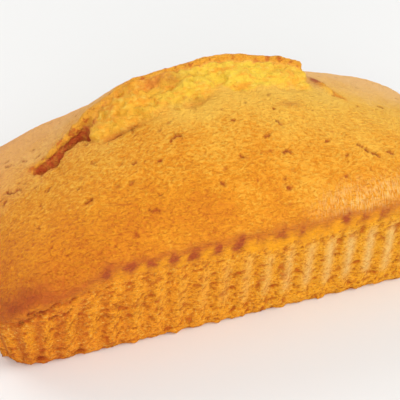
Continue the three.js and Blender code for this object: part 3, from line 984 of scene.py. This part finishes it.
# paler crests, partly real and partly a painted highlight
WALL_PALE_AND_LIT = srgb(252, 204, 118)
BAND_GOLD = srgb(255, 168, 8)
CRUMB_TAWNY = srgb(244, 170, 46)
CRUMB_LEMON = srgb(250, 210, 66)
CRUMB_DEEP = srgb(248, 157, 42)
CRUMB_PALE = srgb(252, 212, 94)
TORN_ORANGE = srgb(248, 172, 50)
TORN_RED = srgb(218, 118, 34)
# painted shade of the crack's gap, its furrow and the strip under the flap
GAP_SHADE_RED = srgb(214, 97, 38)
GAP_SHADE_BROWN = srgb(230, 138, 50)


class Patterns:
    """What the finishes of the cake share: the skin's masks, a point's place, and noise."""

    def __init__(self, tree):
        self.start = Field(tree)
        self.place = self.start.node("TexCoord", {}, {}, output="Object")
        self.along = self.start.node("SeparateXYZ", {}, {"Vector": self.place}, output=0)
        self.across = self.start.node("SeparateXYZ", {}, {"Vector": self.place}, output=1)

        # 0 at the left end and 1 on the right, and 1 high on the crust but for its left end
        self.to_right = self.along.step(-115 * MM, 55 * MM)
        to_ridge = (0.0 - abs(self.across)).step(-56 * MM, -6 * MM)
        self.higher = to_ridge * self.along.step(-112 * MM, -75 * MM)

        self.patches = self.mottle(14, detail=3, seed=5.0)
        self.wrinkles = self.mottle(1.05, detail=3, stretch=(1.7, 1, 1), seed=7.0, roughness=0.68)
        self.fine = self.mottle(0.8, detail=2, stretch=(1.3, 1, 1), seed=9.0)
        self.pitted = self.mottle(1.0, detail=4, stretch=(1.15, 1.15, 0.95), seed=11.0, roughness=0.7)
        self.crumbly = self.mottle(1.8, detail=4, stretch=(1.6, 1, 0.8), seed=19.0, roughness=0.65)
        folds = self.mottle(2.6, detail=3, stretch=(1.7, 1, 1), seed=21.0, roughness=0.6) - 0.5
        self.creases = abs(folds).step(0.0, 0.06)

    def mask(self, name):
        return self.start.node("Attribute", {"attribute_name": name}, {}, output="Fac")

    def mottle(self, size, detail=2.0, stretch=(1, 1, 1), seed=0.0, roughness=0.5):
        """Noise from 0 to 1 with spots of about a size in millimetres."""
        scale = tuple(1 / (size * MM * s) for s in stretch)
        inputs = {"Vector": self.place, "Location": (seed, seed, seed), "Scale": scale}
        shifted = self.start.node("Mapping", {}, inputs)
        inputs = {"Vector": shifted, "Scale": 1.0, "Detail": detail, "Roughness": roughness}
        return self.start.node("TexNoise", {}, inputs)


def crust_colour(cake):
    """Browner to the left and lower down, lighter to the right and higher up, and wrinkled all over; the
    lightening to the right is partly real browning and partly painted light from the right-hand lamp. It is
    tan at the back, a painted sheen, golden before the crack, and streaky where its edge is pale."""
    wrinkled = (cake.wrinkles - 0.5) * (cake.higher * 0.5 - cake.to_right * 0.3 + 1.0)
    # painted light: to_right lightens the crust towards the right, partly real browning and partly painted
    # light from the right-hand lamp
    browning_and_light = cake.to_right * 0.38 + cake.higher * 0.42 + cake.patches * 0.5
    browning_and_light = browning_and_light + wrinkled * 1.1 + cake.fine * 0.5 + cake.creases * 0.1 - 0.4
    stops = [(0.0, CRUST_DEEP), (0.5, CRUST_MID), (1.0, CRUST_LIGHT)]
    crust = cake.start.node("ValToRGB", {"stops": stops}, {"Fac": browning_and_light})

    # painted sheen: the back of the crust turns pale tan for the light glancing off it
    back_sheen = (cake.across + cake.patches * (30 * MM)).step(-2 * MM, 36 * MM)
    crust = (back_sheen * (cake.to_right * 0.36 + 0.46)).colours(crust, CRUST_SHEEN_TAN)
    crust = (cake.mask("golden") * (cake.patches * 0.8 + 0.2)).colours(crust, CRUST_GOLD)
    streaks = cake.mottle(0.5, detail=2, stretch=(1, 5, 5), seed=17.0).step(0.4, 0.65)
    return (cake.mask("peeled") * streaks * 0.65).colours(crust, CRUST_PALE)


def wall_colour(cake):
    """Orange at the left and golden to the right, dark in its pores, darkened by painted shade in its
    grooves, with specks, and paler on the crests of the pleats the further right they are, partly real
    paleness and partly a painted highlight from the right-hand lamp."""
    crest, pitted, to_right = cake.mask("crest"), cake.pitted, cake.to_right
    off_end = cake.along.step(-100 * MM, -30 * MM)
    wall = off_end.colours(WALL_LEFT, WALL_MIDDLE)
    wall = to_right.colours(wall, WALL_RIGHT)
    # painted shade in the grooves of the pleats
    wall = (cake.mask("groove") * (0.55 - off_end * 0.3 - to_right * 0.2)).colours(wall, WALL_DARK)
    # painted highlight: the crests turn golden and, further right, pale, on the flank lit from the right;
    # partly real paleness
    wall = (crest * 0.4).colours(wall, BAND_GOLD)
    pale = to_right * to_right * to_right * (cake.patches * 0.9 + 0.5)
    wall = (crest * pale * (pitted.step(0.32, 0.56) * 0.5 + 0.5)).colours(wall, WALL_PALE_AND_LIT)
    wall = ((1 - pitted.step(0.36, 0.5)) * (0.6 - crest * to_right * 0.35)).colours(wall, WALL_DARK)
    wall = (pitted.step(0.55, 0.7) * 0.68).colours(wall, WALL_SPECK)
    return (cake.mask("pore") * 0.7).colours(wall, WALL_DARK)


def crumb_colour(cake):
    """Lemon yellow where the crack opened last, tawny elsewhere, with deeper hollows and pale crumbs."""
    newest = cake.along.step(-45 * MM, 6 * MM) * (1 - cake.along.step(18 * MM, 36 * MM) * 0.4)
    streaky = cake.mottle(3.6, detail=5, stretch=(2.6, 1, 0.7), seed=13.0, roughness=0.62)
    crumb = (newest * 0.75 + streaky * 0.7 - 0.2).colours(CRUMB_TAWNY, CRUMB_LEMON)
    crumb = ((1 - streaky.step(0.34, 0.54)) * 0.66).colours(crumb, CRUMB_DEEP)
    return (cake.crumbly.step(0.52, 0.68) * 0.6).colours(crumb, CRUMB_PALE)


def torn_colour(cake):
    """The broken edge of the flap."""
    return cake.mottle(2.6, detail=2, seed=15.0).step(0.32, 0.5).colours(TORN_RED, TORN_ORANGE)


# painted shade: the colour of the crack's gap, its furrow and the strip under the flap
def gap_shade_colour(cake):
    return cake.mottle(2.4, detail=3, seed=23.0).step(0.42, 0.62).colours(GAP_SHADE_RED, GAP_SHADE_BROWN)


def cake_colour(cake):
    """Each finish over the ones before it."""
    colour = cake.mask("band").colours(crust_colour(cake), BAND_GOLD)
    colour = cake.mask("wall").colours(colour, wall_colour(cake))
    colour = cake.mask("crumb").colours(colour, crumb_colour(cake))
    colour = cake.mask("torn").colours(colour, torn_colour(cake))
    # painted shade over the gap, the furrow and under the flap
    colour = cake.mask("gap").colours(colour, gap_shade_colour(cake))
    # toast, and painted shade in the groove along the near lip
    brown_and_shade_share = cake.mask("toast") * (cake.wrinkles * 1.5 + 0.3)
    colour = brown_and_shade_share.colours(colour, CRUST_BROWN)
    return (cake.mask("slit") * 0.8).colours(colour, SLIT_BROWN)


def cake_height(cake):
    """The bumps that are too fine for the skin."""
    height = cake.wrinkles * (cake.higher * 0.5 + 0.95) + cake.fine * 0.6 + cake.creases * 0.18
    height = height * (1 - cake.mask("crumb") * 0.5) + cake.mask("wall") * cake.pitted * 0.5
    return height + cake.mask("crumb") * cake.crumbly * 1.1


def cake_material():
    material = bpy.data.materials.new("baked_cake")
    material.use_nodes = True
    tree = material.node_tree
    surface = tree.nodes["Principled BSDF"]
    cake = Patterns(tree)
    rough = cake.fine * 0.2 + cake.mask("wall") * 0.12 + 0.6
    inputs = {"Height": cake_height(cake), "Distance": 1.3 * MM, "Strength": 1.0}
    bumped = cake.start.node("Bump", {}, inputs)
    tree.links.new(cake_colour(cake).socket, surface.inputs["Base Color"])
    tree.links.new(rough.socket, surface.inputs["Roughness"])
    tree.links.new(bumped.socket, surface.inputs["Normal"])
    surface.inputs["Specular IOR Level"].default_value = 0.3
    return material


# ---------------------------------------------------------------- the loaf
def bake_loaf():
    loaf = block()
    bake(loaf)
    combine(loaf, crack_opening(), "DIFFERENCE")
    combine(loaf, crumb_and_flap(), "UNION")
    skin(loaf)
    relief(loaf)
    close_foot(loaf)
    active(loaf)
    bpy.ops.object.shade_smooth()
    loaf.data.materials.clear()
    loaf.data.materials.append(cake_material())
    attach(loaf, "root")
    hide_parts(LOAF)


bake_loaf()


# ---------------------------------------------------------------- floor, light and camera
FLOOR_SIZE = 6000
FLOOR_WHITE = srgb(232, 232, 231)
ROOM_WHITE = (1.0, 0.995, 0.985, 1)
ROOM_STRENGTH = 0.54
LAMP_SIZE = 1000
LAMP_AIM = (0, 0, 40)
# Name, place and power in watts
LAMPS = [
    ("key", (1240, -700, 1400), 17.5),
    ("fill", (-600, -1600, 800), 17),
    ("back", (-700, 1300, 1000), 11),
]


def plain_floor():
    bpy.ops.mesh.primitive_plane_add(size=FLOOR_SIZE * MM, location=(0, 0, 0))
    floor = bpy.context.object
    floor.name = "floor"
    material = bpy.data.materials.new("plain_white")
    material.use_nodes = True
    surface = material.node_tree.nodes["Principled BSDF"]
    surface.inputs["Base Color"].default_value = FLOOR_WHITE
    surface.inputs["Roughness"].default_value = 0.9
    surface.inputs["Specular IOR Level"].default_value = 0.1
    floor.data.materials.append(material)


def soft_light(name, place, power):
    """A square lamp that faces the loaf."""
    bpy.ops.object.light_add(type="AREA", location=[v * MM for v in place])
    lamp = bpy.context.object
    lamp.name = name
    lamp.data.size = LAMP_SIZE * MM
    lamp.data.energy = power
    to_loaf = Vector(LAMP_AIM) * MM - lamp.location
    lamp.rotation_euler = to_loaf.to_track_quat("-Z", "Y").to_euler()


def light_room():
    world = bpy.data.worlds.new("room")
    bpy.context.scene.world = world
    world.use_nodes = True
    world.node_tree.nodes["Background"].inputs["Color"].default_value = ROOM_WHITE
    world.node_tree.nodes["Background"].inputs["Strength"].default_value = ROOM_STRENGTH
    for name, place, power in LAMPS:
        soft_light(name, place, power)
    bpy.context.scene.view_settings.view_transform = "Standard"


CAMERA_TURN = 22.27  # degrees round the loaf from its front
CAMERA_TILT = 31.0  # degrees above the horizon
CAMERA_PLACE = (-203.2, -485.4, 343.8)
CAMERA_LENS = 132.3
SENSOR_WIDTH = 36
VIEW_FROM = 10  # nothing nearer to the camera than this shows
VIEW_TO = 20000


def look():
    bpy.ops.object.camera_add(
        location=[v * MM for v in CAMERA_PLACE],
        rotation=(radians(90 - CAMERA_TILT), 0, -radians(CAMERA_TURN)),
    )
    camera = bpy.context.object
    camera.data.lens = CAMERA_LENS
    camera.data.sensor_width = SENSOR_WIDTH
    camera.data.clip_start = VIEW_FROM * MM
    camera.data.clip_end = VIEW_TO * MM
    bpy.context.scene.camera = camera


plain_floor()
light_room()
look()
